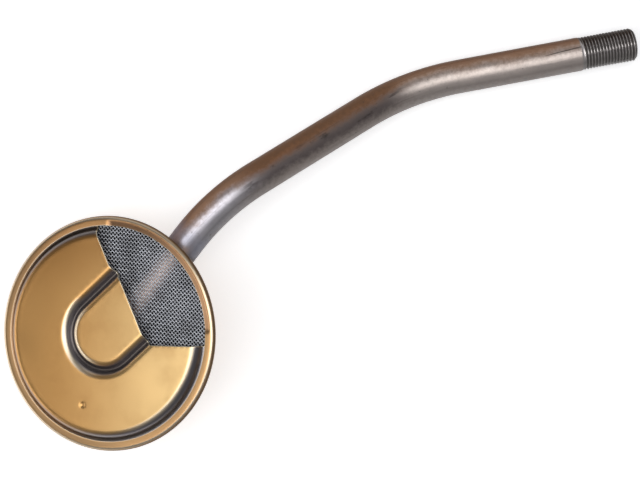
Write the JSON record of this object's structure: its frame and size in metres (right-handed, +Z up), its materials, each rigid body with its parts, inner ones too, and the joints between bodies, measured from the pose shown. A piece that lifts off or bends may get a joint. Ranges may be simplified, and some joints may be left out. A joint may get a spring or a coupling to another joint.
{
  "type": "oil pickup tube",
  "caption": "Bent, threaded oil suction tube brazed into a round strainer, with a wire screen clamped under a pressed baffle plate.",
  "frame": {"origin": "on the thread's axis at the inner edge of the end chamfer", "axes": "+X along the thread, out of the threaded end; +Z up from the level surface on which the part lies"},
  "size_m": [0.3255, 0.1536, 0.0511],
  "materials": {
    "tube_steel": "bare drawn tube with heat tints and draw lines",
    "cup_sheet": "satin gold, browner on the rolled rim",
    "screen_wire": "bright drawn wire",
    "plate_sheet": "satin gold",
    "braze": "as melted"
  },
  "bodies": {
    "root": {"pickup_tube": "tube_steel", "strainer_cup": "cup_sheet", "screen": "screen_wire", "baffle_plate": "plate_sheet", "braze_fillet": "braze"}
  },
  "joints": []
}
